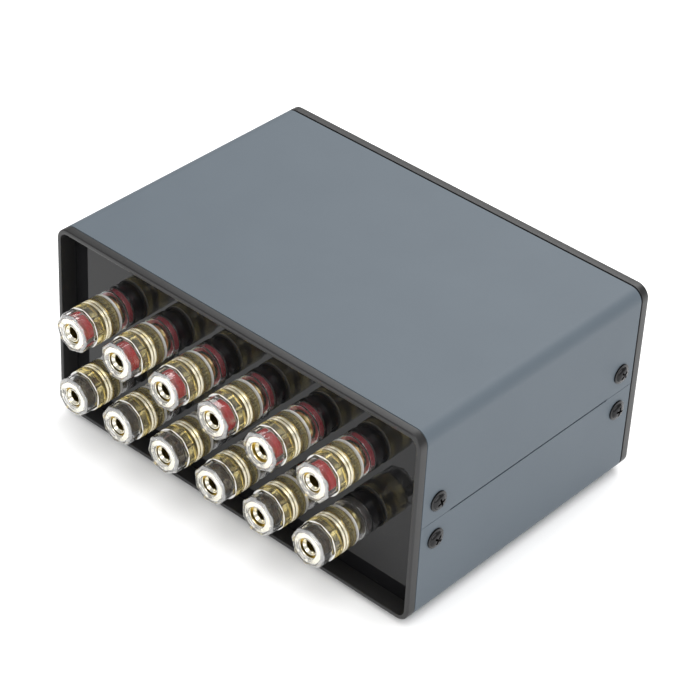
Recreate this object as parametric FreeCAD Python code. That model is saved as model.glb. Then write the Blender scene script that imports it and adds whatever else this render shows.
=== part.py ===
import FreeCAD, Part
import math
import os

# Two-way loudspeaker selector switch. All sizes are millimetres.
# The origin is under the middle of the case on the plane that the feet stand on.
# +Z is up, +Y is the rear with the binding posts, -Y is the front with the selector knob.

# Case
case_width = 150.0
case_height = 70.0
case_depth = 107.0
corner_radius = 4.5
corner_least = 1.8
sheet = 0.8
foot_height = 2.0

# Moulded bezels
flange_depth = 3.1
cover_end_gap = 0.2
rim_width = 1.6
recess_depth = 5.7
recess_draft = 0.4
sleeve_gap = 0.1
sleeve_wall = 1.8
sleeve_length = 13.4
ledge_width = 2.0
ledge_depth = 2.0
edge_round = 0.4
screw_post_reach = 8.5
screw_post_height = 24.0
screw_post_depth = 8.0

# Sheet covers
seam_gap = 0.6
seam_tight_gap = 0.16
seam_relief_length = 75.0
lap_height = 5.0
lap_overlap = 4.0
lap_gap = 0.1

# Panels
panel_thickness = 1.5
panel_clearance = 0.1

# Cover screws, driven in from both sides
screw_inset = 10.0
screw_spacing = 14.2
screw_radius = 1.25
screw_length = 7.0
screw_head_radius = 3.4
screw_dome_radius = 2.6
screw_head_rim = 0.5
screw_head_bevel = 0.25
screw_head_height = 1.5
screw_dome_taper = 0.7
screw_cover_clearance = 0.45
screw_pilot_clearance = 0.05

# Rubber feet
foot_radius = 5.0
foot_taper = 0.6
foot_inset_x = 14.0
foot_inset_y = 14.0

# Binding posts: places on the rear panel
post_columns = 6
post_pitch = 20.2
post_row_spacing = 24.6
post_shift_x = 2.6
post_shift_z = -0.1

# Binding post stem
stem_radius = 2.8
stem_reach = 20.2
socket_radius = 2.0
socket_depth = 18.0
stem_flange_radius = 4.6
stem_flange_thickness = 1.1
tail_radius = 2.5
tail_length = 13.0
tail_clearance = 0.1

# Binding post collar, marker washer and rear nut
collar_radius = 6.8
collar_thickness = 3.0
collar_floor = 1.2
washer_radius = 6.15
washer_gap = 0.05
nut_flats = 8.0
nut_thickness = 3.2

# Binding post cap: clear shell, metal insert and marker ring
cap_radius = 6.85
cap_rear_gap = 2.5
cap_length = 15.7
nose_length = 5.0
nose_flats = 12.6
nose_chamfer = 0.8
cap_bore_radius = 5.5
cap_front_wall = 0.7
cap_front_hole_radius = 3.2
insert_clearance = 0.05
insert_rear_inset = 0.8
knurl_length = 5.7
hex_flats = 8.8
hex_length = 4.2
insert_tube_radius = 3.5
insert_disc_radius = 4.3
insert_disc_thickness = 0.5
thread_clearance = 0.1
marker_radius = 5.15
marker_length = 2.15
marker_clearance = 0.2
cap_back_off = [-0.4, 0.0, 0.1, -0.2, 0.5, -0.2, -0.4, -0.1, -0.1, 0.1, 0.4, 0.2]
cap_turn = [6.0, 20.0, 12.0, 30.0, 2.0, 17.0, 25.0, 9.0, 34.0, 15.0, 21.0, 5.0]

# Rotary switch
bush_radius = 4.7
bush_reach = 6.5
bush_hole_clearance = 0.1
plate_radius = 16.0
plate_thickness = 1.6
detent_radius = 11.0
detent_depth = 5.4
shaft_radius = 3.0
shaft_clearance = 0.05
shaft_rear = 26.0
shaft_front = 17.0
shaft_flat = 0.8
shaft_flat_start = 8.0
wafer_radius = 16.0
wafer_thickness = 1.6
wafer_first_depth = 13.0
wafer_second_depth = 22.0
wafer_bore_radius = 5.3
tie_offset = 13.4
tie_radius = 1.15
tie_spacer_radius = 2.1
tie_end_nut = 2.2
tie_end_stub = 1.2
tie_clearance = 0.1
lug_inner_radius = 9.6
lug_outer_radius = 20.0
lug_width = 2.2
lug_thickness = 0.5
lug_angles = [
    [22.5, 67.5, 112.5, 157.5, 202.5, 247.5, 292.5, 337.5],
    [45.0, 90.0, 135.0, 225.0, 270.0, 315.0],
]
rotor_clearance = 0.2
rotor_grip = 0.02
rotor_overhang = 0.8
blade_radius = 9.3
blade_thickness = 0.4
bush_nut_flats = 14.0
bush_nut_thickness = 2.4
bush_washer_radius = 8.5
bush_washer_thickness = 0.6

# Knob
knob_radius = 18.0
knob_top_radius = 16.6
knob_gap = 1.0
knob_height = 20.7
knob_edge = 1.2
knob_cavity_radius = 10.0
knob_cavity_depth = 6.0
knob_flutes = 20
knob_flute_depth = 0.8
knob_pointer_width = 1.4
knob_pointer_depth = 0.6
knob_pointer_start = 5.0

# Hook-up wires from the posts to the switch lugs
wire_radius = 0.75
wire_lead = 6.0
wire_tail = 8.0
wire_lug_inset = 1.4

# Flats that stand for round faces on the small pieces that repeat
grip_sides = 20
collar_sides = 16
round_sides = 16
insert_sides = 12
small_sides = 10
tail_sides = 8
marker_sides = 8
nose_sides = 8
nut_sides = 6
wire_sides = 4
flute_points = 3

# Turns, and how far a cutter runs past a face
quarter_turn = 90.0
overcut = 1.0

# Places worked out from the sizes above
case_middle = foot_height + case_height / 2
half_depth = case_depth / 2
flange_back = half_depth - flange_depth
cover_end = flange_back - cover_end_gap
rear_face = half_depth - recess_depth
front_face = -rear_face
recess_inset = rim_width + recess_draft
screw_y = half_depth - screw_inset
lug_place_radius = lug_outer_radius - wire_lug_inset
wafer_places = [wafer_first_depth, wafer_second_depth]


def box(x0, x1, y0, y1, z0, z1):
    """Block between two corners."""
    return Part.makeBox(x1 - x0, y1 - y0, z1 - z0, FreeCAD.Vector(x0, y0, z0))


def rounded_wire(inset, y):
    """Outline of the case, drawn in by an inset, on the plane at y."""
    half_x = case_width / 2 - inset
    half_z = case_height / 2 - inset
    radius = max(corner_radius - inset, corner_least)
    corners = [(1, 1), (-1, 1), (-1, -1), (1, -1)]
    arcs = []
    for quarter, (side_x, side_z) in enumerate(corners):
        centre_x = side_x * (half_x - radius)
        centre_z = case_middle + side_z * (half_z - radius)
        points = []
        for part in (0, 1 / 2, 1):
            turn = math.radians((quarter + part) * quarter_turn)
            across = radius * math.cos(turn)
            up = radius * math.sin(turn)
            points.append(FreeCAD.Vector(centre_x + across, y, centre_z + up))
        arcs.append(points)
    edges = []
    for i, points in enumerate(arcs):
        next_arc = arcs[(i + 1) % len(arcs)]
        edges.append(Part.Arc(*points).toShape())
        edges.append(Part.LineSegment(points[-1], next_arc[0]).toShape())
    return Part.Wire(edges)


def rounded_prism(inset, y0, y1):
    """Case outline, drawn in by an inset, as a solid from y0 to y1."""
    return Part.Face(rounded_wire(inset, y0)).extrude(FreeCAD.Vector(0, y1 - y0, 0))


def ring_points(sides, radius, out, turn):
    """Corners of a regular polygon about the Y axis."""
    points = []
    for i in range(sides):
        angle = 2 * math.pi * (i + 0.5) / sides + math.radians(turn)
        points.append(FreeCAD.Vector(radius * math.cos(angle), out, radius * math.sin(angle)))
    return points


def closed_wire(points):
    """Closed polygon through the points."""
    return Part.makePolygon(points + [points[0]])


def faceted(sides, profile, x=0.0, z=0.0, face=0.0, outward=1, turn=0.0):
    """Turned part with each circle drawn as a polygon. The profile is (distance out, radius) pairs."""
    faces = []
    for i, (out, radius) in enumerate(profile):
        next_out, next_radius = profile[(i + 1) % len(profile)]
        first = ring_points(sides, radius, outward * out, turn)
        second = ring_points(sides, next_radius, outward * next_out, turn)
        if radius == 0 and next_radius == 0:
            continue
        if out == next_out:
            outline = first if radius > next_radius else second
            faces.append(Part.Face(closed_wire(outline)))
            continue
        for k in range(sides):
            after = (k + 1) % sides
            faces.append(Part.Face(closed_wire([first[k], first[after], second[after], second[k]])))
    shell = Part.makeShell(faces)
    shell.sewShape()
    solid = Part.makeSolid(shell)
    if solid.Volume < 0:
        solid.reverse()
    solid.translate(FreeCAD.Vector(x, face, z))
    return solid


def prism(sides, radius, out0, out1, x, z, face, outward, turn=0.0):
    """Regular prism on a post or shaft axis, with its corners at the radius."""
    points = ring_points(sides, radius, outward * out0, turn)
    solid = Part.Face(closed_wire(points)).extrude(FreeCAD.Vector(0, outward * (out1 - out0), 0))
    solid.translate(FreeCAD.Vector(x, face, z))
    return solid


def corner(flat_radius, sides):
    """Corner radius of a polygon whose flats touch a circle."""
    return flat_radius / math.cos(math.pi / sides)


def hole(sides, radius, out0, out1, x, z, face, outward):
    """Hole cutter whose flats touch the circle of the radius."""
    return prism(sides, corner(radius, sides), out0, out1, x, z, face, outward)


def cylinder(radius, out0, out1, x, z, face, outward):
    """Plain cylinder on a post or shaft axis."""
    start = face + outward * out0
    length = out1 - out0
    return Part.makeCylinder(radius, length, FreeCAD.Vector(x, start, z), FreeCAD.Vector(0, outward, 0))


def mirrored(shape):
    """The same shape on the front half of the case."""
    return shape.mirror(FreeCAD.Vector(0, 0, 0), FreeCAD.Vector(0, 1, 0))


def save(shapes, node):
    """Write one sub-part, which may be a group of equal solids."""
    solids = []
    for shape in shapes:
        solids.extend(shape.Solids)
    shape = solids[0] if len(solids) == 1 else Part.makeCompound(solids)
    shape.exportStep("parts/" + node + ".step")


def side_screw_places():
    """Side, y and z of each cover screw."""
    places = []
    for side in (-1, 1):
        for end in (-1, 1):
            for level in (-1, 1):
                places.append((side, end * screw_y, case_middle + level * screw_spacing / 2))
    return places


def side_holes(radius, depth):
    """Cross holes for the cover screws, run in from the two sides of the case."""
    holes = []
    for side, y, z in side_screw_places():
        start = side * (case_width / 2 + overcut)
        points = []
        for point in ring_points(tail_sides, corner(radius, tail_sides), 0, 0):
            points.append(FreeCAD.Vector(start, y + point.x, z + point.z))
        drive = FreeCAD.Vector(-side * (depth + overcut), 0, 0)
        holes.append(Part.Face(closed_wire(points)).extrude(drive))
    return Part.makeCompound(holes)


def cover_tube():
    """Bent sheet wrapped all the way round, before it is parted at the seam."""
    return rounded_prism(0, -cover_end, cover_end).cut(rounded_prism(sheet, -cover_end, cover_end))


def seam_trim(level):
    """Material taken off one cover at the seam: tight at the screws, open between them."""
    trims = []
    for reach, gap in ((case_depth, seam_tight_gap), (seam_relief_length / 2, seam_gap)):
        edge = case_middle + level * gap / 2
        far = case_middle - level * case_height
        trims.append(box(-case_width, case_width, -reach, reach, min(edge, far), max(edge, far)))
    return trims[0].fuse(trims[1])


def lap_strip(side):
    """Joggled lip on the lower cover that closes the seam from the inside."""
    outer = case_width / 2 - sheet
    profile = [
        (outer, case_middle - lap_overlap),
        (outer, case_middle - seam_gap),
        (outer - lap_gap, case_middle - seam_gap / 2),
        (outer - lap_gap, case_middle + lap_height),
        (outer - lap_gap - sheet, case_middle + lap_height),
        (outer - lap_gap - sheet, case_middle - lap_overlap),
    ]
    length = seam_relief_length - seam_gap
    points = [FreeCAD.Vector(side * x, -length / 2, z) for x, z in profile]
    return Part.Face(closed_wire(points)).extrude(FreeCAD.Vector(0, length, 0))


def make_covers():
    """Upper and lower bent covers."""
    tube = cover_tube().cut(side_holes(screw_radius + screw_cover_clearance, sheet + overcut))
    save([tube.cut(seam_trim(1))], "top_cover")
    lower = tube.cut(seam_trim(-1))
    for side in (-1, 1):
        lower = lower.fuse(lap_strip(side))
    save([lower.removeSplitter()], "bottom_cover")


def make_bezel():
    """Rear moulded frame: flange, sleeve inside the covers, panel ledge and screw posts."""
    sleeve_inset = sheet + sleeve_gap
    inner_inset = sleeve_inset + sleeve_wall
    panel_back = rear_face - panel_thickness
    sleeve_end = flange_back - sleeve_length
    edge_start = half_depth - edge_round
    frame = rounded_prism(0, flange_back, edge_start)
    edge = Part.makeLoft([rounded_wire(0, edge_start), rounded_wire(edge_round, half_depth)], True, True)
    frame = frame.fuse(edge)
    frame = frame.fuse(rounded_prism(sleeve_inset, sleeve_end, flange_back))
    recess = Part.makeLoft(
        [rounded_wire(rim_width, half_depth), rounded_wire(recess_inset, rear_face)], True, True
    )
    frame = frame.cut(recess)
    frame = frame.cut(rounded_prism(recess_inset, panel_back, rear_face))
    frame = frame.cut(rounded_prism(recess_inset + ledge_width, sleeve_end, panel_back))
    frame = frame.cut(rounded_prism(inner_inset, sleeve_end, panel_back - ledge_depth))
    wall = case_width / 2 - inner_inset + sleeve_wall / 2
    reach = case_width / 2 - screw_post_reach
    for side in (-1, 1):
        left, right = sorted((side * wall, side * reach))
        post = box(
            left,
            right,
            panel_back - screw_post_depth,
            panel_back - ledge_depth / 2,
            case_middle - screw_post_height / 2,
            case_middle + screw_post_height / 2,
        )
        frame = frame.fuse(post)
    pilots = side_holes(screw_radius + screw_pilot_clearance, screw_length + overcut)
    return frame.cut(pilots).removeSplitter()


def make_panels():
    """Flat rear panel with the post holes and flat front panel with the bush hole."""
    inset = recess_inset + panel_clearance
    rear = rounded_prism(inset, rear_face - panel_thickness, rear_face)
    holes = [post_bore(-panel_thickness - overcut, overcut, x, z) for x, z in post_places()]
    save([rear.cut(Part.makeCompound(holes))], "rear_panel")
    front = rounded_prism(inset, front_face, front_face + panel_thickness)
    save([front.cut(bush_bore(-panel_thickness - overcut, overcut))], "front_panel")


def make_cover_screws():
    """Washer-head screws through the covers into the moulded posts."""
    head = [
        (0, 0),
        (0, screw_head_radius),
        (screw_head_rim, screw_head_radius - screw_head_bevel),
        (screw_head_rim, 0),
    ]
    dome = [
        (screw_head_rim, 0),
        (screw_head_rim, screw_dome_radius),
        (screw_head_height, screw_dome_radius * screw_dome_taper),
        (screw_head_height, 0),
    ]
    screws = []
    for side, y, z in side_screw_places():
        shank = prism(nut_sides, screw_radius, -screw_length, screw_head_rim, 0, 0, 0, 1)
        screw = shank.fuse(faceted(small_sides, head)).fuse(faceted(tail_sides, dome))
        screw.rotate(FreeCAD.Vector(0, 0, 0), FreeCAD.Vector(0, 0, 1), -side * quarter_turn)
        screw.translate(FreeCAD.Vector(side * case_width / 2, y, z))
        screws.append(screw)
    save(screws, "cover_screws")


def make_feet():
    """Four stick-on rubber feet."""
    profile = [(0, 0), (0, foot_radius - foot_taper), (foot_height, foot_radius), (foot_height, 0)]
    feet = []
    for side_x in (-1, 1):
        for side_y in (-1, 1):
            foot = faceted(round_sides, profile)
            foot.rotate(FreeCAD.Vector(0, 0, 0), FreeCAD.Vector(1, 0, 0), quarter_turn)
            x = side_x * (case_width / 2 - foot_inset_x)
            y = side_y * (half_depth - foot_inset_y)
            foot.translate(FreeCAD.Vector(x, y, 0))
            feet.append(foot)
    save(feet, "rubber_feet")


def post_places():
    """X and Z of each post: upper row first, counted from +X."""
    places = []
    for row in (1, -1):
        for column in range(post_columns):
            x = post_shift_x + post_pitch * ((post_columns - 1) / 2 - column)
            z = case_middle + post_shift_z + row * post_row_spacing / 2
            places.append((x, z))
    return places


def post_stem(x, z):
    """Metal stem: threaded tail, flange on the collar, and a tip with the plug socket bored into it."""
    flange_top = collar_thickness + stem_flange_thickness
    flange = prism(insert_sides, stem_flange_radius, collar_thickness, flange_top, x, z, rear_face, 1)
    shaft = prism(insert_sides, stem_radius, flange_top, stem_reach, x, z, rear_face, 1)
    tail = prism(tail_sides, tail_radius, -tail_length, collar_thickness, x, z, rear_face, 1)
    socket = cylinder(socket_radius, stem_reach - socket_depth, stem_reach + overcut, x, z, rear_face, 1)
    return flange.fuse(shaft).fuse(tail).cut(socket)


def post_bore(out0, out1, x, z):
    """Hole for a post's threaded tail."""
    return hole(tail_sides, tail_radius + tail_clearance, out0, out1, x, z, rear_face, 1)


def post_collar(x, z):
    """Clear cup-shaped collar that stands on the panel."""
    seat = washer_radius + washer_gap
    cup = prism(collar_sides, collar_radius, 0, collar_thickness, x, z, rear_face, 1)
    cup = cup.cut(hole(insert_sides, seat, collar_floor, collar_thickness, x, z, rear_face, 1))
    return cup.cut(post_bore(0, collar_floor, x, z))


def post_washer(x, z):
    """Coloured marker washer that lies in the collar, under the stem's flange."""
    top = collar_thickness - washer_gap
    washer = prism(insert_sides, washer_radius, collar_floor + washer_gap, top, x, z, rear_face, 1)
    return washer.cut(post_bore(0, collar_thickness, x, z))


def post_nut(x, z):
    """Hexagon nut that clamps a post from inside the case."""
    back = -panel_thickness - nut_thickness
    nut = prism(nut_sides, corner(nut_flats / 2, nut_sides), back, -panel_thickness, x, z, rear_face, 1)
    return nut.cut(post_bore(back, 0, x, z))


def cap_rear(index):
    """Distance from the panel to the rear rim of one cap at rest."""
    return collar_thickness + cap_rear_gap + cap_back_off[index]


def cap_shell(index, x, z):
    """Clear shell: round grip, eight-sided nose with a chamfer, and a bore for the insert."""
    rear = cap_rear(index)
    front = rear + cap_length
    shoulder = front - nose_length
    nose_corner = corner(nose_flats / 2, nose_sides)
    grip = prism(grip_sides, cap_radius, rear, shoulder, x, z, rear_face, 1)
    nose_profile = [
        (shoulder, 0),
        (shoulder, nose_corner),
        (front - nose_chamfer, nose_corner),
        (front, nose_corner - nose_chamfer),
        (front, 0),
    ]
    nose = faceted(nose_sides, nose_profile, x, z, rear_face, 1, cap_turn[index])
    shell = grip.fuse(nose)
    bore = hole(insert_sides, cap_bore_radius, rear, front - cap_front_wall, x, z, rear_face, 1)
    front_hole = hole(small_sides, cap_front_hole_radius, rear, front, x, z, rear_face, 1)
    return shell.cut(bore).cut(front_hole)


def cap_insert(index, x, z):
    """Metal insert: knurled band, hexagon, tube and bright front disc."""
    rear = cap_rear(index) + insert_rear_inset
    front = cap_rear(index) + cap_length - cap_front_wall - insert_clearance
    knurl_front = rear + knurl_length
    hex_front = knurl_front + hex_length
    disc_back = front - insert_disc_thickness
    radius = cap_bore_radius - insert_clearance
    hex_corner = corner(hex_flats / 2, nut_sides)
    turn = cap_turn[index]
    insert = prism(insert_sides, radius, rear, knurl_front, x, z, rear_face, 1)
    insert = insert.fuse(prism(nut_sides, hex_corner, knurl_front, hex_front, x, z, rear_face, 1, turn))
    insert = insert.fuse(prism(small_sides, insert_tube_radius, hex_front, disc_back, x, z, rear_face, 1))
    insert = insert.fuse(prism(small_sides, insert_disc_radius, disc_back, front, x, z, rear_face, 1))
    return insert.cut(hole(small_sides, stem_radius + thread_clearance, rear, front, x, z, rear_face, 1))


def cap_marker(index, x, z):
    """Coloured ring around the insert's tube, in front of the hexagon."""
    back = cap_rear(index) + insert_rear_inset + knurl_length + hex_length + marker_clearance
    front = back + marker_length
    inner_radius = insert_tube_radius + marker_clearance
    ring = prism(marker_sides, marker_radius, back, front, x, z, rear_face, 1)
    return ring.cut(hole(marker_sides, inner_radius, back, front, x, z, rear_face, 1))


def make_posts():
    """Twelve binding posts."""
    places = post_places()
    upper = places[:post_columns]
    lower = places[post_columns:]
    save([post_stem(x, z) for x, z in places], "terminal_stems")
    save([post_collar(x, z) for x, z in places], "terminal_collars")
    save([post_washer(x, z) for x, z in upper], "marker_washers_red")
    save([post_washer(x, z) for x, z in lower], "marker_washers_black")
    save([post_nut(x, z) for x, z in places], "terminal_nuts")
    for index, (x, z) in enumerate(places):
        row = "upper" if index < post_columns else "lower"
        label = row + "_" + str(index % post_columns + 1)
        save([cap_shell(index, x, z)], "cap_shell_" + label)
        save([cap_insert(index, x, z)], "cap_insert_" + label)
        save([cap_marker(index, x, z)], "marker_ring_" + label)


def switch_prism(sides, radius, out0, out1, x=0.0):
    """Regular prism along the switch's axis, or beside it, measured out of the front panel's face."""
    return prism(sides, radius, out0, out1, x, case_middle, front_face, -1)


def switch_hole(sides, radius, out0, out1, x=0.0):
    """Hole cutter along the switch's axis, or beside it."""
    return hole(sides, radius, out0, out1, x, case_middle, front_face, -1)


def switch_cylinder(radius, out0, out1):
    """Plain cylinder on the switch's axis."""
    return cylinder(radius, out0, out1, 0, case_middle, front_face, -1)


def bush_bore(out0, out1):
    """Hole for the switch's threaded bush."""
    return switch_hole(round_sides, bush_radius + bush_hole_clearance, out0, out1)


def make_switch_frame():
    """Front plate with its threaded bush and the detent housing behind it."""
    plate_front = -panel_thickness
    plate_back = plate_front - plate_thickness
    end = plate_back - detent_depth
    frame = switch_prism(round_sides, bush_radius, plate_front, bush_reach)
    frame = frame.fuse(switch_prism(round_sides, plate_radius, plate_back, plate_front))
    frame = frame.fuse(switch_prism(round_sides, detent_radius, end, plate_back))
    bore = switch_cylinder(shaft_radius + shaft_clearance, end - overcut, bush_reach + overcut)
    save([frame.cut(bore)], "switch_frame")


def make_switch_deck():
    """Two insulating wafers and their solder lugs."""
    wafers = []
    lugs = []
    for deck, place in enumerate(wafer_places):
        back = -place - wafer_thickness
        wafer = switch_prism(round_sides, wafer_radius, back, -place)
        wafer = wafer.cut(switch_hole(round_sides, wafer_bore_radius, back, -place))
        for tie_x in (-tie_offset, tie_offset):
            wafer = wafer.cut(switch_hole(nut_sides, tie_radius + tie_clearance, back, -place, tie_x))
        wafers.append(wafer)
        lug_y = front_face + place + wafer_thickness
        lug_side = lug_width / 2
        for angle in lug_angles[deck]:
            lug = box(lug_inner_radius, lug_outer_radius, lug_y, lug_y + lug_thickness, -lug_side, lug_side)
            lug.rotate(FreeCAD.Vector(0, 0, 0), FreeCAD.Vector(0, -1, 0), angle)
            lug.translate(FreeCAD.Vector(0, 0, case_middle))
            lugs.append(lug)
    save(wafers, "switch_wafers")
    save(lugs, "switch_lugs")


def make_tie_screws():
    """Two long screws with spacer sleeves that carry the wafers on the front plate."""
    first, second = wafer_places
    start = panel_thickness + plate_thickness
    first_end = first + wafer_thickness
    second_end = second + wafer_thickness
    nut_end = second_end + tie_end_nut
    ties = []
    for x in (-tie_offset, tie_offset):
        tie = switch_prism(nut_sides, tie_radius, -nut_end - tie_end_stub, -start, x)
        for near, far in ((start, first), (first_end, second), (second_end, nut_end)):
            tie = tie.fuse(switch_prism(tail_sides, tie_spacer_radius, -far, -near, x))
        ties.append(tie)
    save(ties, "switch_tie_screws")


def shaft_flat_block(clearance):
    """Block that cuts the drive flat on top of the shaft's front end."""
    reach = shaft_radius + overcut
    floor = case_middle + shaft_radius - shaft_flat + clearance
    y_front = front_face - shaft_front - overcut
    y_back = front_face - shaft_flat_start
    return box(-reach, reach, y_front, y_back, floor, case_middle + reach)


def make_switch_rotor():
    """Shaft with its drive flat, and the two rotor hubs with their contact blades."""
    shaft = switch_cylinder(shaft_radius, -shaft_rear, shaft_front)
    save([shaft.cut(shaft_flat_block(0))], "switch_shaft")
    rotors = []
    for place in wafer_places:
        back = -place - wafer_thickness - rotor_overhang
        front = -place + rotor_overhang
        hub = switch_prism(round_sides, wafer_bore_radius - rotor_clearance, back, front)
        blade = switch_prism(round_sides, blade_radius, front - blade_thickness, front)
        top = case_middle + blade_radius
        blade = blade.cut(box(-blade_radius, blade_radius, -case_depth, case_depth, case_middle, top))
        shaft_hole = switch_hole(small_sides, shaft_radius + rotor_grip, back, front)
        rotors.append(hub.fuse(blade).cut(shaft_hole))
    save(rotors, "switch_rotors")


def make_bush_nut():
    """Nut and flat washer that hold the switch in the front panel."""
    top = bush_washer_thickness + bush_nut_thickness
    nut_corner = corner(bush_nut_flats / 2, nut_sides)
    washer = switch_prism(round_sides, bush_washer_radius, 0, bush_washer_thickness)
    nut = switch_prism(nut_sides, nut_corner, bush_washer_thickness, top)
    bore = bush_bore(0, top)
    save([washer.cut(bore), nut.cut(bore)], "bush_nut")


def fluted_wire(out, radius):
    """Outline of the knob's fluted grip at a distance out of the front panel's face."""
    count = knob_flutes * flute_points
    points = []
    for i, point in enumerate(ring_points(count, radius, front_face - out, 0)):
        share = 1 - knob_flute_depth / radius if i % flute_points == 0 else 1
        points.append(FreeCAD.Vector(point.x * share, point.y, case_middle + point.z * share))
    return closed_wire(points)


def make_knob():
    """Fluted knob with a cavity over the bush nut, a drive bore and a pointer groove."""
    top = knob_gap + knob_height
    shoulder = top - knob_edge
    grip = [fluted_wire(knob_gap, knob_radius), fluted_wire(shoulder, knob_top_radius)]
    knob = Part.makeLoft(grip, True, True)
    land = knob_top_radius - knob_flute_depth
    edge = [(shoulder, 0), (shoulder, land), (top, land - knob_edge), (top, 0)]
    knob = knob.fuse(faceted(knob_flutes, edge, 0, case_middle, front_face, -1))
    knob = knob.cut(switch_hole(round_sides, knob_cavity_radius, 0, knob_gap + knob_cavity_depth))
    bore = switch_cylinder(shaft_radius + rotor_grip, 0, shaft_front + rotor_grip)
    knob = knob.cut(bore.cut(shaft_flat_block(rotor_grip)))
    pointer_side = knob_pointer_width / 2
    y_out = front_face - top - overcut
    y_in = front_face - top + knob_pointer_depth
    start = case_middle + knob_pointer_start
    end = case_middle + knob_radius
    save([knob.cut(box(-pointer_side, pointer_side, y_out, y_in, start, end))], "knob")


def wire_section(point, direction):
    """Section of a wire across its direction."""
    direction = FreeCAD.Vector(direction)
    direction.normalize()
    across = direction.cross(FreeCAD.Vector(0, 0, 1))
    across.normalize()
    up = across.cross(direction)
    points = []
    for i in range(wire_sides):
        angle = 2 * math.pi * i / wire_sides
        offset = across * (wire_radius * math.cos(angle)) + up * (wire_radius * math.sin(angle))
        points.append(point + offset)
    return closed_wire(points)


def wire_routes():
    """Wafer and lug angle for each column of the upper row, which the lower row mirrors."""
    first, second = lug_angles
    return [(0, first[0]), (1, second[0]), (0, first[1]), (0, first[2]), (1, second[2]), (0, first[3])]


def make_wires():
    """One wire from each post's tail to its lug on the switch."""
    routes = wire_routes()
    along = FreeCAD.Vector(0, -1, 0)
    wires = []
    for index, (x, z) in enumerate(post_places()):
        deck, angle = routes[index % post_columns]
        turn = math.radians(angle if index < post_columns else -angle)
        lug_x = lug_place_radius * math.cos(turn)
        lug_z = case_middle + lug_place_radius * math.sin(turn)
        lug_y = front_face + wafer_places[deck] + wafer_thickness + lug_thickness
        tail_y = rear_face - tail_length
        path = [
            FreeCAD.Vector(x, tail_y, z),
            FreeCAD.Vector(x, tail_y - wire_lead, z),
            FreeCAD.Vector(lug_x, lug_y + wire_tail, lug_z),
            FreeCAD.Vector(lug_x, lug_y, lug_z),
        ]
        middle = path[2] - path[1]
        middle.normalize()
        bend = along + middle
        sections = [
            wire_section(path[0], along),
            wire_section(path[1], bend),
            wire_section(path[2], bend),
            wire_section(path[3], along),
        ]
        wires.append(Part.makeLoft(sections, True, True))
    save(wires, "hookup_wires")


os.makedirs("parts", exist_ok=True)
make_covers()
rear_bezel = make_bezel()
save([rear_bezel], "rear_bezel")
save([mirrored(rear_bezel)], "front_bezel")
make_panels()
make_cover_screws()
make_feet()
make_posts()
make_switch_frame()
make_switch_deck()
make_tie_screws()
make_switch_rotor()
make_bush_nut()
make_knob()
make_wires()
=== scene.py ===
import math

import bmesh
import bpy
from mathutils import Matrix, Vector


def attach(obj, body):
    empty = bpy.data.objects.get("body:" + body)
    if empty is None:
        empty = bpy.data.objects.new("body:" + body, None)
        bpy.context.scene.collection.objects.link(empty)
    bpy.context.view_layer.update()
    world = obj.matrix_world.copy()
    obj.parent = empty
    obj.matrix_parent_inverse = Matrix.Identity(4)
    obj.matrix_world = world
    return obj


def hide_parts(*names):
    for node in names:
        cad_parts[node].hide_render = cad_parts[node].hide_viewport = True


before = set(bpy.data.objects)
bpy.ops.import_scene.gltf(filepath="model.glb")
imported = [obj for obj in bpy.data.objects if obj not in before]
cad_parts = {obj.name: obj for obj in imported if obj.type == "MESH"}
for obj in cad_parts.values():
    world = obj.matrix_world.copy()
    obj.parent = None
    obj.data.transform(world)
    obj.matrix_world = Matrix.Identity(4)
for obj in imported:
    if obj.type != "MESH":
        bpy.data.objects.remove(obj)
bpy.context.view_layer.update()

MM = 0.001

# Sizes in millimetres, as in the CAD source.
WIDTH, HEIGHT, DEPTH = 150.0, 70.0, 107.0
FOOT = 2.0
MIDDLE = FOOT + HEIGHT / 2
HALF_DEPTH = DEPTH / 2
SHEET = 0.8
CORNER = 4.5
FLANGE_BACK = HALF_DEPTH - 3.1
COVER_END = FLANGE_BACK - 0.2
REAR_FACE = HALF_DEPTH - 5.7
PANEL_BACK = REAR_FACE - 1.5
SLEEVE_END = 37.0
SCREW_Y = HALF_DEPTH - 10.0
SCREW_LEVEL = 7.1
SEAM_WIDE, SEAM_CLOSE, SEAM_REACH = 0.6, 0.16, 37.5
PITCH, ROW_SPACING = 20.2, 24.6
SHIFT_X, SHIFT_Z = 2.6, -0.1
CAP_OFF = [-0.4, 0.0, 0.1, -0.2, 0.5, -0.2, -0.4, -0.1, -0.1, 0.1, 0.4, 0.2]
CAP_TURN = [6.0, 20.0, 12.0, 30.0, 2.0, 17.0, 25.0, 9.0, 34.0, 15.0, 21.0, 5.0]
CAP_REAR = 5.5

# Faces of a block whose points are one end's four corners in turn, then the other end's.
BLOCK = [(0, 1, 2, 3), (7, 6, 5, 4), (0, 4, 5, 1), (1, 5, 6, 2), (2, 6, 7, 3), (3, 7, 4, 0)]


def post_places():
    """X and Z of each post: upper row first, counted from +X."""
    places = []
    for row in (1, -1):
        for column in range(6):
            x = SHIFT_X + PITCH * (2.5 - column)
            places.append((x, MIDDLE + SHIFT_Z + row * ROW_SPACING / 2))
    return places


POSTS = post_places()


def label(index):
    """Row and number of a post, as in the names of its pieces."""
    row = "upper" if index < 6 else "lower"
    return row + "_" + str(index % 6 + 1)


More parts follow.
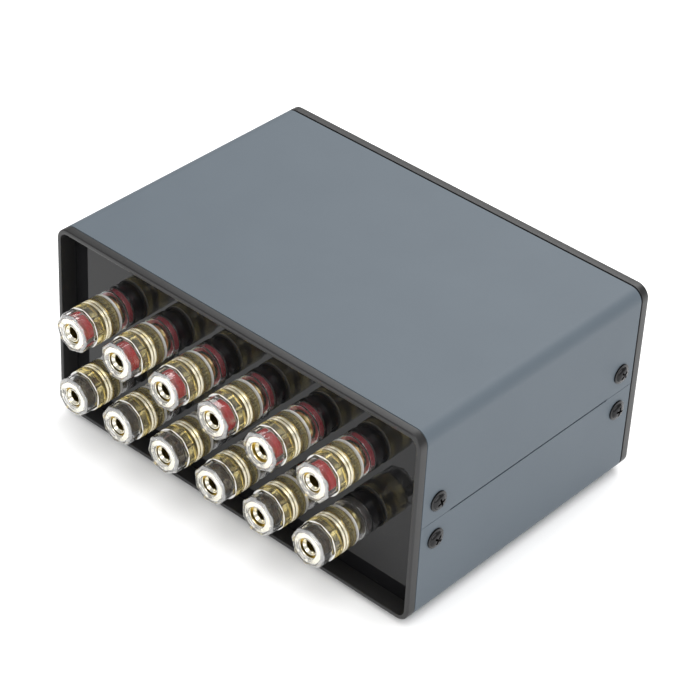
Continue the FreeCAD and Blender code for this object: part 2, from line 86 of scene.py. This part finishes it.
class Shader:
    """A material with a Principled shader and short ways to add nodes to it."""

    def __init__(self, name, **values):
        """New material. Values are constants for the shader's sockets."""
        self.material = bpy.data.materials.new(name)
        self.material.use_nodes = True
        self.tree = self.material.node_tree
        self.shader = self.tree.nodes["Principled BSDF"]
        self.output = self.tree.nodes["Material Output"]
        for socket, value in values.items():
            self.shader.inputs[socket.replace("_", " ")].default_value = value
        self.place = self.node("ShaderNodeTexCoord").outputs["Object"]

    def node(self, kind, **values):
        """New node with its properties set."""
        node = self.tree.nodes.new(kind)
        for key, value in values.items():
            setattr(node, key, value)
        return node

    def link(self, start, end):
        """Link from an output to an input."""
        self.tree.links.new(start, end)

    def noise(self, size, detail=2.0, rough=0.5, stretch=None):
        """Noise whose grain is about size millimetres."""
        node = self.node("ShaderNodeTexNoise")
        node.inputs["Scale"].default_value = 1.0 / (size * MM)
        node.inputs["Detail"].default_value = detail
        node.inputs["Roughness"].default_value = rough
        if stretch:
            mapping = self.node("ShaderNodeMapping")
            mapping.inputs["Scale"].default_value = stretch
            self.link(self.place, mapping.inputs["Vector"])
            self.link(mapping.outputs["Vector"], node.inputs["Vector"])
        else:
            self.link(self.place, node.inputs["Vector"])
        return node.outputs["Fac"]

    def span(self, factor, low, high):
        """Factor 0..1 turned into low..high."""
        node = self.node("ShaderNodeMapRange")
        node.inputs["To Min"].default_value = low
        node.inputs["To Max"].default_value = high
        self.link(factor, node.inputs["Value"])
        return node.outputs["Result"]

    def blend_colours(self, factor, first, second):
        """Colour that runs from first to second with the factor."""
        node = self.node("ShaderNodeMix", data_type="RGBA")
        for socket in node.inputs:
            if socket.type == "RGBA":
                socket.default_value = (*(first if socket.name == "A" else second), 1)
        self.link(factor, node.inputs["Factor"])
        return [o for o in node.outputs if o.type == "RGBA"][0]

    def bump(self, height, strength, distance, base=None):
        """Normal that a height gives, with its depth in millimetres."""
        node = self.node("ShaderNodeBump")
        node.inputs["Strength"].default_value = strength
        node.inputs["Distance"].default_value = distance * MM
        self.link(height, node.inputs["Height"])
        if base:
            self.link(base, node.inputs["Normal"])
        return node.outputs["Normal"]

    def put(self, socket, value):
        """Link an output to a socket of the shader."""
        self.link(value, self.shader.inputs[socket])


def paint():
    """Fine blue-grey enamel on steel."""
    s = Shader("enamel_blue_grey")
    s.shader.inputs["Specular IOR Level"].default_value = 0.35
    broad = s.noise(24, 3)
    fine = s.noise(0.35, 3, 0.6)
    s.put("Base Color", s.blend_colours(broad, (0.079, 0.100, 0.121), (0.090, 0.113, 0.135)))
    s.put("Roughness", s.span(fine, 0.46, 0.60))
    s.put("Normal", s.bump(fine, 0.22, 0.02, s.bump(s.noise(1.6, 2), 0.12, 0.03)))
    return s.material


def moulding(name="moulded_black", colour=(0.007, 0.007, 0.0073), rough=0.42):
    """Black moulded plastic with a fine spark-eroded grain."""
    s = Shader(name)
    grain = s.noise(0.28, 2, 0.7)
    broad = s.noise(9, 3)
    lift = tuple(c * 1.35 for c in colour)
    s.put("Base Color", s.blend_colours(broad, colour, lift))
    s.put("Roughness", s.span(grain, rough - 0.06, rough + 0.08))
    s.put("Normal", s.bump(grain, 0.25, 0.015))
    return s.material


def gloss_panel():
    """Polished black acrylic with faint dust and fine rub marks."""
    s = Shader("gloss_black")
    dust = s.noise(0.5, 5, 0.75)
    rub = s.noise(3.0, 4, 0.6, (1.0, 1.0, 0.2))
    s.shader.inputs["Specular IOR Level"].default_value = 0.27
    specks = s.span(dust, -1.1, 1.0)
    s.put("Base Color", s.blend_colours(specks, (0.004, 0.004, 0.0045), (0.011, 0.011, 0.012)))
    s.put("Roughness", s.span(rub, 0.02, 0.075))
    s.put("Normal", s.bump(s.noise(30, 1), 0.05, 0.2))
    return s.material


def gold(name, first, second, rough=0.16):
    """Bright gold plate over turned brass, with faint tool rings."""
    s = Shader(name, Metallic=1.0)
    broad = s.noise(2.2, 3)
    rings = s.noise(0.12, 2, 0.5, (0.15, 2.2, 0.15))
    s.put("Base Color", s.blend_colours(broad, first, second))
    s.put("Roughness", s.span(broad, rough * 0.7, rough * 1.5))
    s.put("Normal", s.bump(rings, 0.12, 0.01))
    return s.material


def metal(name, first, second):
    """Plain plated metal with slight clouding."""
    s = Shader(name, Metallic=1.0)
    broad = s.noise(3, 3)
    s.put("Base Color", s.blend_colours(broad, first, second))
    s.put("Roughness", s.span(broad, 0.18, 0.3))
    return s.material


def clear_plastic(name, clearness, rough):
    """Clear polycarbonate with slight flow marks. Less clearness gives whiter copies, used as painted
    highlights on edges that catch the light.
    """
    s = Shader(name, IOR=1.58)
    s.shader.inputs["Transmission Weight"].default_value = clearness
    flow = s.noise(4, 2)
    s.put("Base Color", s.blend_colours(flow, (0.985, 0.985, 0.98), (0.998, 0.997, 0.99)))
    s.put("Roughness", s.span(flow, rough, rough + 0.012))
    return s.material


def coloured(name, first, second, rough=0.35, see_through=0.0):
    """Coloured plastic with slight mottling."""
    s = Shader(name)
    s.shader.inputs["Transmission Weight"].default_value = see_through
    s.put("Base Color", s.blend_colours(s.noise(1.5, 3), first, second))
    s.put("Roughness", s.span(s.noise(0.4, 2), rough - 0.05, rough + 0.1))
    s.put("Normal", s.bump(s.noise(0.3, 2), 0.1, 0.01))
    return s.material


PAINT = paint()
BLACK = moulding()
KNOB_BLACK = moulding("knob_black", (0.02, 0.02, 0.021), 0.36)
PANEL = gloss_panel()
GOLD = gold("gold_plate", (0.80, 0.68, 0.32), (0.89, 0.79, 0.44))
# Paler copy of the gold: painted highlight and reflection on the insert's rings and front disc and on the
# stem tips.
HIGHLIGHT_GOLD = gold("gold_painted_highlight", (0.93, 0.88, 0.72), (0.97, 0.93, 0.80), 0.2)
NICKEL = metal("nickel_plate", (0.62, 0.60, 0.55), (0.72, 0.70, 0.66))
CLEAR = clear_plastic("clear_polycarbonate", 0.97, 0.0)
# Whiter, less clear copy for the shell and collar rims: painted highlight.
EDGE_HIGHLIGHT = clear_plastic("clear_polycarbonate_edge_highlight", 0.32, 0.2)
# Hazier copy for the nose face: painted highlight.
NOSE_HIGHLIGHT = clear_plastic("clear_polycarbonate_nose_highlight", 0.74, 0.1)
RED = coloured("marker_red", (0.82, 0.020, 0.024), (0.90, 0.035, 0.034), 0.12, 0.3)
DARK = coloured("marker_dark", (0.030, 0.016, 0.008), (0.12, 0.075, 0.03), 0.1, 0.3)
# Washer colours: red and dark marker plastic, darkened as painted shade for the pockets under the caps.
SHADED_RED = coloured("washer_red_painted_shade", (0.50, 0.008, 0.026), (0.62, 0.014, 0.040), 0.2, 0.3)
SHADED_DARK = coloured("washer_dark_painted_shade", (0.035, 0.010, 0.009), (0.055, 0.016, 0.013), 0.2, 0.5)
SCREW = metal("screw_black", (0.020, 0.020, 0.021), (0.045, 0.045, 0.046))
RUBBER = coloured("foot_rubber", (0.018, 0.018, 0.018), (0.030, 0.029, 0.028), 0.75)
LAMINATE = coloured("wafer_laminate", (0.30, 0.18, 0.07), (0.42, 0.27, 0.12), 0.5)
SLEEVE = coloured("wire_sleeve", (0.06, 0.06, 0.065), (0.10, 0.10, 0.11), 0.45)
NYLON = coloured("rotor_nylon", (0.68, 0.65, 0.56), (0.80, 0.77, 0.68), 0.4)
INK = coloured("panel_ink", (0.66, 0.66, 0.64), (0.74, 0.74, 0.72), 0.5)


def finish_bands(piece, material, start, bands):
    """Another material on the faces whose distance out from start lies in one of the bands."""
    piece.data.materials.append(material)
    last = len(piece.data.materials) - 1
    for face in piece.data.polygons:
        out = face.center.y / MM - start
        if any(low < out < high for low, high in bands):
            face.material_index = last


def add_object(name, data):
    """Object with the data, in the scene."""
    thing = bpy.data.objects.new(name, data)
    bpy.context.scene.collection.objects.link(thing)
    return thing


def solid_mesh(name, points, faces):
    """Mesh from points in millimetres, with its faces turned outward."""
    mesh = bpy.data.meshes.new(name)
    mesh.from_pydata([Vector(p) * MM for p in points], [], faces)
    work = bmesh.new()
    work.from_mesh(mesh)
    bmesh.ops.remove_doubles(work, verts=work.verts, dist=1e-7)
    bmesh.ops.recalc_face_normals(work, faces=work.faces)
    work.to_mesh(mesh)
    work.free()
    return mesh


def add_mesh(name, parts, material, body, nodes=(), sharp=32.0):
    """One piece from (points, faces) lists in millimetres.

    It rides on a body and may stand for CAD nodes.
    """
    points = []
    faces = []
    for part_points, part_faces in parts:
        base = len(points)
        points.extend(part_points)
        faces.extend([tuple(base + i for i in face) for face in part_faces])
    mesh = solid_mesh(name, points, faces)
    mesh.shade_smooth()
    mesh.set_sharp_from_angle(angle=math.radians(sharp))
    mesh.materials.append(material)
    piece = add_object(name, mesh)
    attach(piece, body)
    if nodes:
        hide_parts(*nodes)
    return piece


def lathe(profile, x, z, face=REAR_FACE, outward=1, count=64, turn=0.0):
    """Turned shape about the Y axis. Radii are numbers, or functions of the angle."""
    points = []
    starts = []
    for out, radius in profile:
        starts.append(len(points))
        y = face + outward * out
        if radius == 0:
            points.append((x, y, z))
            continue
        for k in range(count):
            angle = 2 * math.pi * k / count
            reach = radius(angle) if callable(radius) else radius
            spin = angle + math.radians(turn)
            points.append((x + reach * math.cos(spin), y, z + reach * math.sin(spin)))
    faces = []
    total = len(profile)
    for i in range(total):
        j = (i + 1) % total
        first_point = profile[i][1] == 0
        second_point = profile[j][1] == 0
        if first_point and second_point:
            continue
        for k in range(count):
            n = (k + 1) % count
            if first_point:
                faces.append((starts[i], starts[j] + k, starts[j] + n))
            elif second_point:
                faces.append((starts[i] + k, starts[i] + n, starts[j]))
            else:
                faces.append((starts[i] + k, starts[i] + n, starts[j] + n, starts[j] + k))
    return points, faces


def polygon_radius(sides, flats, limit):
    """Radius of a regular polygon by angle, with its corners rounded off at a limit."""

    def radius(angle):
        step = 2 * math.pi / sides
        off = (angle % step) - step / 2
        return min(flats / 2 / math.cos(off), limit)

    return radius


def round_outline(inset, per_corner=10):
    """Case outline as (x, z) points, drawn in by an inset, with a flat strip beside each bend."""
    half_x = WIDTH / 2 - inset
    half_z = HEIGHT / 2 - inset
    radius = CORNER - min(inset, CORNER * 0.6)
    strip = 0.4
    points = []
    for side_x, side_z, start in ((1, 1, 0), (-1, 1, 90), (-1, -1, 180), (1, -1, 270)):
        cx = side_x * (half_x - radius)
        cz = MIDDLE + side_z * (half_z - radius)
        for k in range(-1, per_corner + 2):
            angle = math.radians(start + 90.0 * min(max(k, 0), per_corner) / per_corner)
            run = strip if k > per_corner else -strip if k < 0 else 0.0
            x = cx + radius * math.cos(angle) - run * math.sin(angle)
            z = cz + radius * math.sin(angle) + run * math.cos(angle)
            points.append((x, z))
    return points


def tube_loop(rings, sign=1):
    """Closed tube through case outlines given as (inset, y)."""
    points = []
    for inset, y in rings:
        points.extend([(x, sign * y, z) for x, z in round_outline(inset)])
    count = len(points) // len(rings)
    faces = []
    for i in range(len(rings)):
        j = (i + 1) % len(rings)
        for k in range(count):
            n = (k + 1) % count
            faces.append((i * count + k, i * count + n, j * count + n, j * count + k))
    return points, faces


def ribbon(stations):
    """Bent sheet swept along Y.

    Each station is y, the outer and inner (x, z) lines, and the share by which the two draw together.
    """
    points = []
    for y, (outer, inner), draw in stations:
        section = outer + inner[::-1]
        count = len(section)
        for k, (x, z) in enumerate(section):
            ox, oz = section[count - 1 - k]
            points.append((x + (ox - x) * draw, y, z + (oz - z) * draw))
    faces = []
    for i in range(len(stations) - 1):
        for k in range(count):
            n = (k + 1) % count
            faces.append((i * count + k, i * count + n, (i + 1) * count + n, (i + 1) * count + k))
    for base in (0, (len(stations) - 1) * count):
        for k in range(count // 2 - 1):
            faces.append((base + k, base + k + 1, base + count - 2 - k, base + count - 1 - k))
    return points, faces


def cover_lines(level, gap):
    """Outer and inner line of one cover, from the seam at +X round to the seam at -X."""
    outer = round_outline(0, 14)
    inner = round_outline(SHEET, 14)
    count = len(outer) // 4
    pick = list(range(2 * count)) if level > 0 else list(range(2 * count, 4 * count))[::-1]
    seam = MIDDLE + level * gap / 2
    lines = []
    for line, inset in ((outer, 0), (inner, SHEET)):
        half = WIDTH / 2 - inset
        lines.append([(half, seam)] + [line[i] for i in pick] + [(-half, seam)])
    return lines


def make_covers():
    """Upper and lower bent covers. The lower one has the laps that close the seam from inside."""
    gap_at_front = 0.35
    for level, node in ((1, "top_cover"), (-1, "bottom_cover")):
        wide = cover_lines(level, SEAM_WIDE)
        close = cover_lines(level, SEAM_CLOSE)
        front = gap_at_front - COVER_END
        stations = [
            (front, close, 0.12),
            (front + 0.1, close, 0.0),
            (front + 0.6, close, 0.0),
            (-SEAM_REACH, close, 0.0),
            (-SEAM_REACH, wide, 0.0),
            (SEAM_REACH, wide, 0.0),
            (SEAM_REACH, close, 0.0),
            (COVER_END - 0.6, close, 0.0),
            (COVER_END - 0.1, close, 0.0),
            (COVER_END, close, 0.12),
        ]
        parts = [ribbon(stations)]
        if level < 0:
            edge = WIDTH / 2 - SHEET
            reach = SEAM_REACH - SEAM_WIDE / 2
            for side in (-1, 1):
                line = [
                    (side * edge, MIDDLE - 4.0),
                    (side * edge, MIDDLE - SEAM_WIDE),
                    (side * (edge - 0.1), MIDDLE - SEAM_WIDE / 2),
                    (side * (edge - 0.1), MIDDLE + 5.0),
                ]
                back = [(x - side * SHEET, z) for x, z in line]
                parts.append(ribbon([(-reach, (line, back), 0.0), (reach, (line, back), 0.0)]))
        add_mesh(node + "_sheet", parts, PAINT, "case", [node], 30)


def make_bezels():
    """Moulded frames at both ends: flange, recess, panel ledge, sleeve and posts for the cover screws."""
    rings = [
        (0.9, FLANGE_BACK),
        (0.12, FLANGE_BACK),
        (0.0, FLANGE_BACK + 0.12),
        (0.0, HALF_DEPTH - 0.5),
        (0.06, HALF_DEPTH - 0.26),
        (0.24, HALF_DEPTH - 0.07),
        (0.5, HALF_DEPTH),
        (1.4, HALF_DEPTH),
        (1.54, HALF_DEPTH - 0.05),
        (1.62, HALF_DEPTH - 0.2),
        (2.0, REAR_FACE),
        (2.0, PANEL_BACK),
        (4.0, PANEL_BACK),
        (4.0, PANEL_BACK - 2.0),
        (2.7, PANEL_BACK - 2.0),
        (2.7, SLEEVE_END),
        (0.9, SLEEVE_END),
    ]
    for sign, node in ((1, "rear_bezel"), (-1, "front_bezel")):
        parts = [tube_loop(rings, sign)]
        for side in (-1, 1):
            inner, outer = side * (WIDTH / 2 - 8.5), side * (WIDTH / 2 - 2.2)
            low, high = MIDDLE - 12, MIDDLE + 12
            corners = [(inner, low), (outer, low), (outer, high), (inner, high)]
            points = [(x, sign * y, z) for y in (38.3, 45.6) for x, z in corners]
            parts.append((points, BLOCK))
        add_mesh(node + "_frame", parts, BLACK, "case", [node], 30)


def screw_head(side, y, z, turn):
    """Washer head with a dome and a cross recess, as (points, faces)."""
    profile = [
        (-0.05, 3.2),
        (-0.02, 3.4),
        (0.38, 3.4),
        (0.5, 3.25),
        (0.56, 2.85),
        (0.62, 2.62),
        (0.95, 2.50),
        (1.25, 2.15),
        (1.45, 1.60),
        (1.50, 1.05),
    ]
    points, faces = [], []
    count = 40
    for out, radius in profile:
        x = side * (WIDTH / 2 + out)
        for k in range(count):
            angle = 2 * math.pi * k / count + math.radians(turn)
            points.append((x, y + radius * math.cos(angle), z + radius * math.sin(angle)))
    for i in range(len(profile) - 1):
        for k in range(count):
            n = (k + 1) % count
            faces.append((i * count + k, i * count + n, (i + 1) * count + n, (i + 1) * count + k))
    faces.append(tuple(reversed(range(count))))
    top = (len(profile) - 1) * count
    faces.append(tuple(top + k for k in range(count)))
    return points, faces


def screw_cutters(side, y, z, turn):
    """Two tapered bars that take the cross recess out of a screw head, as lists of points."""
    bars = []
    for spin in (0, 90):
        angle = math.radians(turn + spin)
        points = []
        for out, reach, half in ((2.0, 1.9, 0.42), (0.55, 1.05, 0.30)):
            for u, v in ((reach, half), (-reach, half), (-reach, -half), (reach, -half)):
                a = u * math.cos(angle) - v * math.sin(angle)
                b = u * math.sin(angle) + v * math.cos(angle)
                points.append((side * (WIDTH / 2 + out), y + a, z + b))
        bars.append(points)
    return bars


def make_screws():
    """Eight cover screws, four in each side."""
    heads, bars = [], []
    turns = [12, 50, 33, 71, 20, 64, 5, 41]
    places = [(side, end, level) for side in (-1, 1) for end in (-1, 1) for level in (-1, 1)]
    for (side, end, level), turn in zip(places, turns):
        y = end * SCREW_Y
        z = MIDDLE + level * SCREW_LEVEL
        heads.append(screw_head(side, y, z, turn))
        bars.extend(screw_cutters(side, y, z, turn))
    piece = add_mesh("cover_screw_heads", heads, SCREW, "case", ["cover_screws"], 30)
    for points in bars:
        cutter = add_object("cutter", solid_mesh("cutter", points, BLOCK))
        cut = piece.modifiers.new("cut", "BOOLEAN")
        cut.operation = "DIFFERENCE"
        cut.solver = "EXACT"
        cut.object = cutter
        bpy.context.view_layer.update()
        graph = bpy.context.evaluated_depsgraph_get()
        done = bpy.data.meshes.new_from_object(piece.evaluated_get(graph))
        piece.modifiers.remove(cut)
        old = piece.data
        piece.data = done
        bpy.data.meshes.remove(old)
        bpy.data.objects.remove(cutter)
    piece.data.set_sharp_from_angle(angle=math.radians(30))


def ring_profile(out0, out1, inner, outer, bevel):
    """Flat ring with broken edges."""
    return [
        (out0, inner),
        (out0, outer - bevel),
        (out0 + bevel * 0.3, outer - bevel * 0.3),
        (out0 + bevel, outer),
        (out1 - bevel, outer),
        (out1 - bevel * 0.3, outer - bevel * 0.3),
        (out1, outer - bevel),
        (out1, inner),
    ]


def make_stems():
    """Stems with a flange, a plain tail and the plug socket bored into the tip."""
    profile = [
        (-13.0, 0),
        (-13.0, 2.2),
        (-12.7, 2.5),
        (3.0, 2.5),
        (3.0, 4.5),
        (3.1, 4.6),
        (4.0, 4.6),
        (4.1, 4.5),
        (4.1, 2.8),
        (20.05, 2.8),
        (20.2, 2.7),
        (20.2, 2.56),
        (19.35, 2.0),
        (2.4, 2.0),
        (2.2, 1.6),
        (2.2, 0),
    ]
    parts = [lathe(profile, x, z, count=48) for x, z in POSTS]
    stems = add_mesh("post_stems", parts, GOLD, "case", ["terminal_stems"], 25)
    # Stem tip band in the paler gold: painted highlight.
    finish_bands(stems, HIGHLIGHT_GOLD, REAR_FACE, [(19.6, 21)])


def make_collars():
    """Clear collars against the panel, and the marker washers in the pockets behind them, in darker
    copies of the marker colours as painted shade.
    """
    cup = [
        (0.02, 6.22),
        (0.02, 6.6),
        (0.08, 6.74),
        (0.25, 6.8),
        (2.75, 6.8),
        (2.92, 6.74),
        (3.0, 6.6),
        (3.0, 2.62),
        (2.15, 2.62),
        (2.15, 6.1),
        (2.05, 6.2),
    ]
    parts = [lathe(cup, x, z, count=72) for x, z in POSTS]
    collars = add_mesh("post_collars", parts, CLEAR, "case", ["terminal_collars"], 40)
    # Collar rim in the whiter copy: painted highlight.
    finish_bands(collars, EDGE_HIGHLIGHT, REAR_FACE, [(0.03, 0.06)])
    for first, node, material, slot in (
        (0, "marker_washers_red", SHADED_RED, "red_marker"),
        (6, "marker_washers_black", SHADED_DARK, "dark_marker"),
    ):
        washer = ring_profile(0.35, 2.05, 4.9, 6.12, 0.15)
        parts = [lathe(washer, x, z) for x, z in POSTS[first : first + 6]]
        add_mesh(node + "_round", parts, material, "case", [node], 30)


def shell_rings():
    """Clear cap moulded round the insert: round grip, eight-sided nose, ring chamber and front wall."""
    nose = polygon_radius(8, 12.6, 6.74)
    nose_front = polygon_radius(8, 11.1, 6.0)
    return [
        (0.0, 5.75),
        (0.0, 6.35),
        (0.10, 6.62),
        (0.28, 6.79),
        (0.50, 6.85),
        (0.85, 6.85),
        (10.45, 6.85),
        (10.60, 6.80),
        (10.72, nose),
        (14.85, nose),
        (15.05, polygon_radius(8, 12.35, 6.62)),
        (15.62, nose_front),
        (15.70, polygon_radius(8, 10.8, 5.8)),
        (15.70, 3.6),
        (15.60, 3.5),
        (15.02, 3.5),
        (15.0, 3.55),
        (15.0, 5.2),
        (14.9, 5.3),
        (10.75, 5.3),
        (10.65, 5.2),
        (10.62, 4.2),
        (0.9, 4.2),
        (0.88, 5.4),
        (0.8, 5.5),
        (0.2, 5.5),
    ]


def knurl(teeth, low, high):
    """Radius of a knurled band, by angle."""

    def radius(angle):
        return low + (high - low) * abs(math.cos(teeth * angle / 2.0))

    return radius


def insert_rings():
    """Gold insert: coarse knurl, groove, two polished rings, fine knurl, hexagon, tube and front disc."""
    coarse = knurl(36, 5.12, 5.44)
    fine = knurl(72, 5.0, 5.2)
    hexagon = polygon_radius(6, 8.8, 5.0)
    return [
        (0.8, 2.9),
        (0.8, 4.9),
        (0.95, coarse),
        (3.4, coarse),
        (3.5, 4.75),
        (3.95, 4.75),
        (3.98, 5.3),
        (4.06, 5.4),
        (4.15, 5.42),
        (4.8, 5.0),
        (4.82, 4.3),
        (5.2, 4.3),
        (5.22, 5.3),
        (5.28, 5.4),
        (5.36, 5.42),
        (6.0, 5.0),
        (6.02, 4.3),
        (6.3, 4.3),
        (6.35, fine),
        (7.0, fine),
        (7.1, 4.7),
        (7.15, hexagon),
        (10.5, hexagon),
        (10.6, 3.66),
        (14.3, 3.66),
        (14.45, 4.95),
        (14.52, 5.05),
        (14.9, 5.05),
        (14.95, 4.95),
        (14.95, 3.5),
        (14.8, 3.4),
        (13.2, 3.4),
        (13.2, 2.9),
    ]


def make_caps():
    """Clear shell, gold insert and marker ring of each cap."""
    for index, (x, z) in enumerate(POSTS):
        face = REAR_FACE + CAP_REAR + CAP_OFF[index]
        name = label(index)
        body = "cap_" + name
        turn = CAP_TURN[index]
        shell = add_mesh(
            "shell_" + name,
            [lathe(shell_rings(), x, z, face, count=96, turn=turn)],
            CLEAR,
            body,
            ["cap_shell_" + name],
            28,
        )
        # Rear rim and shoulder in the whiter copy: painted highlight.
        finish_bands(shell, EDGE_HIGHLIGHT, face, [(0.03, 0.84), (10.62, 10.71)])
        # Nose face in the hazier copy: painted highlight.
        finish_bands(shell, NOSE_HIGHLIGHT, face, [(15.1, 15.67)])
        insert = add_mesh(
            "insert_" + name,
            [lathe(insert_rings(), x, z, face, count=144, turn=turn)],
            GOLD,
            body,
            ["cap_insert_" + name],
            28,
        )
        # Rings and front disc in the paler gold: painted highlight and reflection.
        finish_bands(insert, HIGHLIGHT_GOLD, face, [(4.05, 4.79), (5.25, 5.99), (14.4, 15)])
        red = index < 6
        add_mesh(
            "ring_" + name,
            [lathe(ring_profile(10.9, 13.05, 3.7, 5.15, 0.15), x, z, face)],
            RED if red else DARK,
            "ring_" + name,
            ["marker_ring_" + name],
            30,
        )


def make_knob():
    """Fluted knob with a dished face, and its pointer line."""
    flutes = 20

    def grip(radius, depth):
        def reach(angle):
            wave = abs(math.cos(flutes * angle / 2.0))
            return radius - depth * (1 - min(1.0, wave * 1.6))

        return reach

    profile = [
        (1.0, 10.0),
        (1.0, 17.6),
        (1.3, 17.95),
        (2.6, 17.9),
        (3.2, grip(17.85, 0.8)),
        (19.6, grip(16.55, 0.8)),
        (20.2, grip(16.3, 0.5)),
        (20.9, 15.7),
        (21.4, 15.1),
        (21.6, 14.3),
        (21.55, 13.4),
        (21.35, 12.0),
        (21.3, 0),
        (17.0, 0),
        (17.0, 3.02),
        (7.0, 3.02),
        (7.0, 10.0),
    ]
    add_mesh(
        "selector_knob",
        [lathe(profile, 0, MIDDLE, -REAR_FACE, -1, 160)],
        KNOB_BLACK,
        "selector",
        ["knob"],
        30,
    )
    line = [(-0.55, 5.0), (0.55, 5.0), (0.55, 12.4), (-0.55, 12.4)]
    points = [(x, -REAR_FACE - out, MIDDLE + up) for out in (21.36, 21.2) for x, up in line]
    add_mesh("knob_pointer", [(points, BLOCK)], INK, "selector")


def make_scale():
    """Three marks and their numbers, printed round the knob."""
    face = -REAR_FACE - 0.01
    middle = Vector((0, 0, MIDDLE))
    number_radius = 27.6
    positions = (("1", -30), ("0", 0), ("2", 30))
    parts = []
    for _, turn in positions:
        angle = math.radians(turn)
        along = Vector((math.sin(angle), 0, math.cos(angle)))
        across = Vector((math.cos(angle), 0, -math.sin(angle)))
        ends = [(20.0, -0.4), (24.0, -0.4), (24.0, 0.4), (20.0, 0.4)]
        points = []
        for y in (face, face - 0.03):
            points.extend([tuple(middle + along * r + across * w + Vector((0, y, 0))) for r, w in ends])
        parts.append((points, BLOCK))
    add_mesh("scale_marks", parts, INK, "case")
    for text, turn in positions:
        angle = math.radians(turn)
        curve = bpy.data.curves.new("number", "FONT")
        curve.body = text
        curve.size = 5.6 * MM
        curve.extrude = 0.015 * MM
        curve.align_x = "CENTER"
        curve.align_y = "CENTER"
        source = add_object("number", curve)
        bpy.context.view_layer.update()
        graph = bpy.context.evaluated_depsgraph_get()
        mesh = bpy.data.meshes.new_from_object(source.evaluated_get(graph))
        bpy.data.objects.remove(source)
        across, up = number_radius * math.sin(angle), number_radius * math.cos(angle)
        place = Vector((across, face - 0.02, MIDDLE + up)) * MM
        mesh.transform(Matrix.Translation(place) @ Matrix.Rotation(math.pi / 2, 4, "X"))
        mesh.materials.clear()
        mesh.materials.append(INK)
        piece = add_object("scale_number_" + text, mesh)
        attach(piece, "case")


def dress_cad():
    """Materials for the CAD pieces that stay as they are."""
    looks = {
        "rear_panel": PANEL,
        "front_panel": PANEL,
        "rubber_feet": RUBBER,
        "terminal_nuts": NICKEL,
        "switch_frame": NICKEL,
        "switch_wafers": LAMINATE,
        "switch_lugs": NICKEL,
        "switch_tie_screws": NICKEL,
        "bush_nut": NICKEL,
        "hookup_wires": SLEEVE,
        "switch_shaft": NICKEL,
        "switch_rotors": NYLON,
    }
    for node, material in looks.items():
        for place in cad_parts[node].material_slots:
            place.material = material


def make_floor():
    """Pale floor with a weak glow that keeps the open floor white. The glow fades by occlusion where the
    floor is covered, which paints the shade under the case.
    """
    size = 3.0
    mesh = bpy.data.meshes.new("floor")
    corners = [(-size, -size, 0), (size, -size, 0), (size, size, 0), (-size, size, 0)]
    mesh.from_pydata(corners, [], [(0, 1, 2, 3)])
    add_object("floor", mesh)
    s = Shader("floor_white", Roughness=0.9)
    s.shader.inputs["Specular IOR Level"].default_value = 0.0
    s.put("Base Color", s.blend_colours(s.noise(300, 2), (0.84, 0.84, 0.84), (0.86, 0.86, 0.86)))
    glow = s.node("ShaderNodeEmission")
    # Occlusion dims the glow under and beside the case: painted shade.
    shade_occlusion = s.node("ShaderNodeAmbientOcclusion", samples=8)
    shade_occlusion.inputs["Distance"].default_value = 20 * MM
    square = s.node("ShaderNodeMath", operation="POWER")
    square.inputs[1].default_value = 2.0
    s.link(shade_occlusion.outputs["AO"], square.inputs[0])
    s.link(s.span(square.outputs[0], 0.0, 0.30), glow.inputs["Strength"])
    add = s.node("ShaderNodeAddShader")
    s.link(s.shader.outputs[0], add.inputs[0])
    s.link(glow.outputs[0], add.inputs[1])
    s.link(add.outputs[0], s.output.inputs["Surface"])
    mesh.materials.append(s.material)


def make_world():
    """Plain white surroundings, dimmer in reflections."""
    world = bpy.data.worlds.new("studio")
    bpy.context.scene.world = world
    world.use_nodes = True
    tree = world.node_tree
    background = tree.nodes["Background"]
    background.inputs["Color"].default_value = (1, 1, 1, 1)
    rays = tree.nodes.new("ShaderNodeLightPath")
    span = tree.nodes.new("ShaderNodeMapRange")
    span.inputs["To Min"].default_value = 1.0
    span.inputs["To Max"].default_value = 0.55
    tree.links.new(rays.outputs["Is Glossy Ray"], span.inputs["Value"])
    tree.links.new(span.outputs["Result"], background.inputs["Strength"])


def make_lamps():
    """Three soft lamps: name, place, width, height and power."""
    aim = Vector((0, 0, 0.03))
    lamps = [
        ("key", (-0.45, 0.35, 1.0), 0.9, 0.9, 4.0),
        ("fill", (-0.35, 1.1, 0.75), 0.7, 0.7, 5.0),
        ("back", (0.25, -0.8, 0.85), 0.9, 0.45, 6.5),
    ]
    for name, place, width, height, power in lamps:
        light = bpy.data.lights.new(name, "AREA")
        light.shape = "RECTANGLE"
        light.size = width
        light.size_y = height
        light.energy = power
        lamp = add_object(name, light)
        lamp.location = place
        lamp.rotation_euler = (aim - Vector(place)).to_track_quat("-Z", "Y").to_euler()


def make_camera():
    """Camera above the rear panel and one side."""
    sensor, frame_pixels, focal_pixels = 36.0, 700, 2600.854
    right = Vector((-0.74013586, -0.67093548, 0.04521599))
    up = Vector((0.42607032, -0.41586944, 0.80344054))
    back = Vector((-0.52025282, 0.61392035, 0.59366558))
    camera = bpy.data.cameras.new("camera")
    camera.sensor_width = sensor
    camera.lens = focal_pixels / frame_pixels * sensor
    camera.clip_start = 0.01
    camera.clip_end = 20
    body = add_object("camera", camera)
    place = Vector((-0.428662, 0.503942, 0.522134 + FOOT * MM))
    turn = Matrix((right, up, back)).transposed().to_4x4()
    body.matrix_world = Matrix.Translation(place) @ turn
    bpy.context.scene.camera = body


make_covers()
make_bezels()
make_screws()
make_stems()
make_collars()
make_caps()
make_knob()
make_scale()
dress_cad()
make_floor()
make_world()
make_lamps()
make_camera()
bpy.context.scene.view_settings.view_transform = "Standard"
